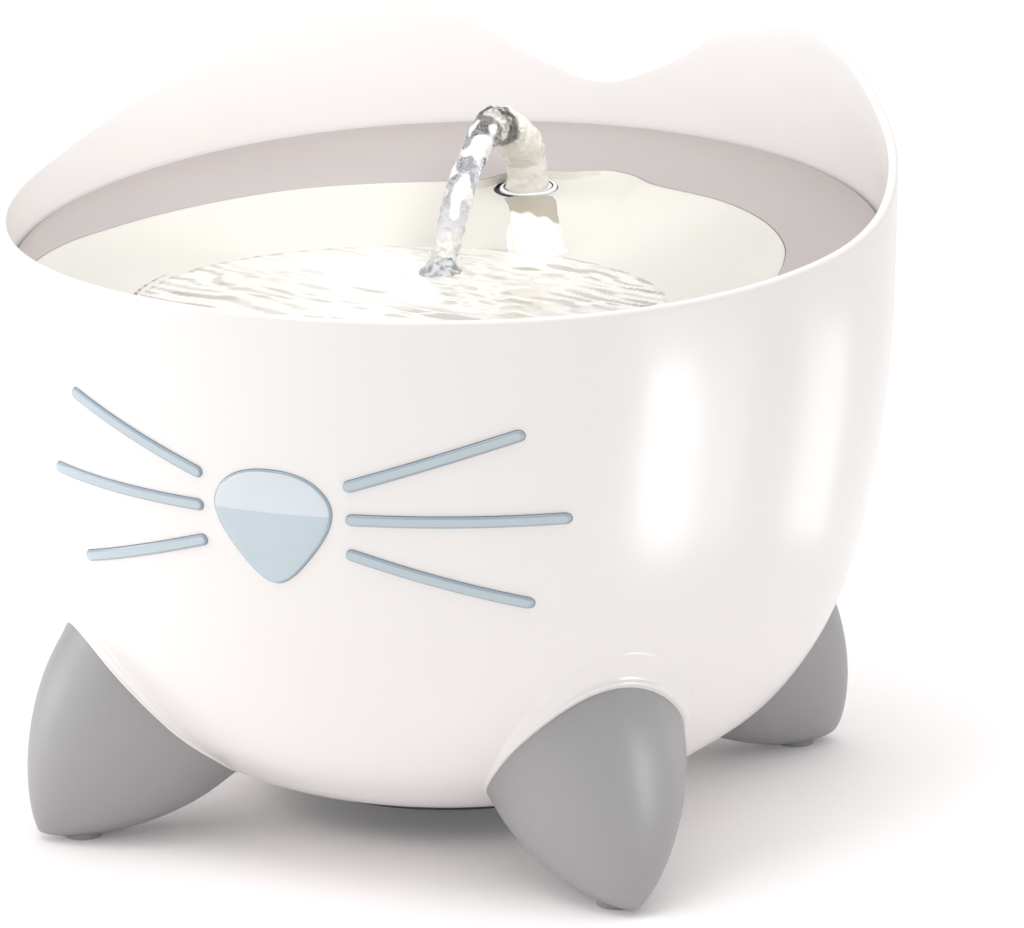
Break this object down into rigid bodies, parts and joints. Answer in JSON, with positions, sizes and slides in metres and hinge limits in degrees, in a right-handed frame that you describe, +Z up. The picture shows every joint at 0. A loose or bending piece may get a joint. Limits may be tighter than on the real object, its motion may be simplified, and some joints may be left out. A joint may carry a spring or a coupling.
{
  "type": "pet water fountain",
  "caption": "Round pet water fountain with ear-shaped rises, four cone feet, a sloping drinking dish fed by a nozzle, and a pump and filter in the tank below.",
  "frame": {"origin": "on the floor, under the axis of the round body", "axes": "+Z up, -Y towards the face and the front of the dish, +X to the right of someone who looks at the face"},
  "size_m": [0.24, 0.24, 0.201],
  "materials": {
    "shell_white": "gloss",
    "base_dark": "matte",
    "screw_steel": "satin",
    "foot_grey": "satin",
    "pad_rubber": "matte",
    "window_blue": "gloss",
    "seal_rubber": "matte",
    "housing_white": "satin",
    "circuit_green": "satin",
    "lead_black": "satin",
    "inlet_black": "satin",
    "pump_white": "satin",
    "potting_brown": "matte",
    "cup_rubber": "satin",
    "ceramic": "gloss",
    "impeller_blue": "satin",
    "cover_grey": "satin",
    "foam_dark": "porous",
    "dial_grey": "satin",
    "deck_grey": "satin",
    "dish_cream": "gloss",
    "ring_steel": "polished",
    "riser_clear": "satin",
    "holder_white": "satin",
    "frame_grey": "satin"
  },
  "bodies": {
    "tank": {"outer_shell": "shell_white", "bottom_cover": "base_dark", "cover_screws": "screw_steel", "foot_front_left": "foot_grey", "foot_front_right": "foot_grey", "foot_rear_left": "foot_grey", "foot_rear_right": "foot_grey", "foot_pads": "pad_rubber", "foot_screws": "screw_steel", "nose_lens": "window_blue", "nose_seal": "seal_rubber", "whisker_left_upper": "window_blue", "whisker_left_middle": "window_blue", "whisker_left_lower": "window_blue", "whisker_right_upper": "window_blue", "whisker_right_middle": "window_blue", "whisker_right_lower": "window_blue", "whisker_seals": "seal_rubber", "light_housing": "housing_white", "light_board": "circuit_green", "light_lead": "lead_black", "power_inlet": "inlet_black", "inlet_seal": "seal_rubber", "inlet_lead": "lead_black", "control_board": "circuit_green", "lead_grommets": "seal_rubber", "pump_body": "pump_white", "pump_core": "potting_brown", "pump_rear_plate": "pump_white", "suction_cups": "cup_rubber", "impeller_cap": "pump_white", "shaft_bushes": "seal_rubber", "impeller_shaft": "ceramic", "pump_lead": "lead_black"},
    "impeller": {"impeller": "impeller_blue"},
    "strainer": {"pump_cover": "cover_grey", "pre_filter": "foam_dark"},
    "dial": {"flow_dial": "dial_grey"},
    "tray": {"tray_deck": "deck_grey", "drinking_dish": "dish_cream", "nozzle_ring": "ring_steel", "nozzle_gasket": "seal_rubber", "riser_tube": "riser_clear", "filter_holder": "holder_white"},
    "filter": {"filter_frame": "frame_grey", "filter_media": "foam_dark"}
  },
  "joints": [
    {"name": "impeller_spin", "type": "hinge", "parent": "tank", "child": "impeller", "pos_m": [0, 0.045, 0.045], "axis": [0, 1, 0], "continuous": true},
    {"name": "strainer_pull", "type": "slide", "parent": "tank", "child": "strainer", "axis": [0, -1, 0], "range_m": [0, 0.022]},
    {"name": "dial_turn", "type": "hinge", "parent": "strainer", "child": "dial", "pos_m": [0, 0.0087, 0.045], "axis": [0, -1, 0], "range_deg": [0, 90]},
    {"name": "tray_lift", "type": "slide", "parent": "tank", "child": "tray", "axis": [0, 0, 1], "range_m": [0, 0.16]},
    {"name": "filter_pull", "type": "slide", "parent": "tray", "child": "filter", "axis": [0, 0, -1], "range_m": [0, 0.03]}
  ]
}
